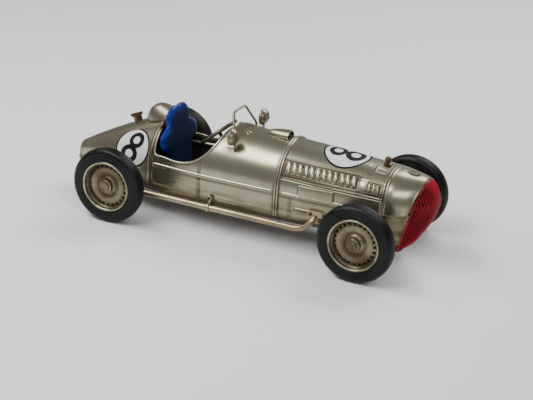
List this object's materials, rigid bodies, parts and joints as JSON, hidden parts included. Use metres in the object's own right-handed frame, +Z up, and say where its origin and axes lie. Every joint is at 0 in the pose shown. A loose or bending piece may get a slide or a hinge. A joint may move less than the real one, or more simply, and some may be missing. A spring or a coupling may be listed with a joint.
{
  "type": "friction toy racing car",
  "caption": "Pressed-tin friction racing car with open cockpit, exposed wheels, raked grille, louvred bonnet and side exhaust.",
  "frame": {"origin": "on the floor, under the middle of the car's length and width", "axes": "+X towards the nose, +Y towards the car's left side, +Z up"},
  "size_m": [0.322, 0.1384, 0.0952],
  "materials": {
    "body": "aged nickel paint, satin",
    "trim": "aged, satin",
    "chin": "aged gold-toned paint",
    "base": "satin",
    "dark": "matte",
    "grille": "semi-gloss crimson",
    "roundel": "gloss",
    "seat": "glossy",
    "pipe": "aged, satin",
    "brass": "tarnished",
    "tyre": "satin",
    "wheel": "aged nickel",
    "gear": "machined",
    "steel": "plain",
    "iron": "raw"
  },
  "bodies": {
    "car": {"tail_shell": "body", "cockpit_shell": "body", "bonnet": "body", "side_panel_right": "body", "side_panel_left": "body", "strap_band": "trim", "side_beads": "trim", "louvre_panels": "body", "bonnet_roundel": "roundel", "tail_roundels": "roundel", "bonnet_plate": "trim", "radiator_cap": "trim", "air_scoop": "body", "nose_cowl": "body", "chin_fairing": "chin", "front_apron": "chin", "grille_frame": "grille", "grille_bars": "grille", "grille_backing": "dark", "nose_badge": "trim", "belly_pan": "base", "front_bracket": "steel", "rear_bulkhead": "dark", "cockpit_floor": "dark", "steering_column": "trim", "dash_panel": "dark", "seat_back": "seat", "seat_cushion": "seat", "headrest": "body", "filler_cap": "brass", "scuttle_hood": "body", "cockpit_rim": "trim", "windscreen_frame": "trim", "mirror_right": "trim", "mirror_left": "trim", "scuttle_eyelets": "trim", "exhaust_pipe": "pipe", "exhaust_clamp": "pipe", "exhaust_flange": "pipe", "exhaust_screws": "brass", "motor_plates": "steel", "motor_spacers": "steel"},
    "rear_wheels": {"rear_axle": "steel", "tyre_rear_left": "tyre", "tyre_rear_right": "tyre", "wheel_rear_left": "wheel", "wheel_rear_right": "wheel", "hub_caps_rear": "wheel", "drive_gear": "gear"},
    "front_wheels": {"front_axle": "steel", "tyre_front_left": "tyre", "tyre_front_right": "tyre", "wheel_front_left": "wheel", "wheel_front_right": "wheel", "hub_caps_front": "wheel"},
    "idler": {"idler_cluster": "gear", "idler_shaft": "steel"},
    "flywheel": {"flywheel_shaft": "steel", "flywheel": "iron"},
    "steering_wheel": {"steering_wheel": "trim"}
  },
  "joints": [
    {"name": "rear_wheels_spin", "type": "hinge", "parent": "car", "child": "rear_wheels", "pos_m": [-0.0965, 0, 0.031], "axis": [0, 1, 0], "continuous": true},
    {"name": "front_wheels_spin", "type": "hinge", "parent": "car", "child": "front_wheels", "pos_m": [0.1174, 0, 0.031], "axis": [0, 1, 0], "continuous": true},
    {"name": "idler_spin", "type": "hinge", "parent": "car", "child": "idler", "pos_m": [-0.10741, 0, 0.036], "axis": [0, 1, 0], "continuous": true},
    {"name": "flywheel_spin", "type": "hinge", "parent": "car", "child": "flywheel", "pos_m": [-0.12017, 0, 0.035], "axis": [0, 1, 0], "continuous": true},
    {"name": "steering_wheel_turn", "type": "hinge", "parent": "car", "child": "steering_wheel", "pos_m": [-0.03, 0, 0.071], "axis": [-0.6428, 0, 0.766], "continuous": true}
  ],
  "couplings": [
    {"joint": "idler_spin", "follows": "rear_wheels_spin", "ratio": -2},
    {"joint": "flywheel_spin", "follows": "rear_wheels_spin", "ratio": 4.4}
  ]
}
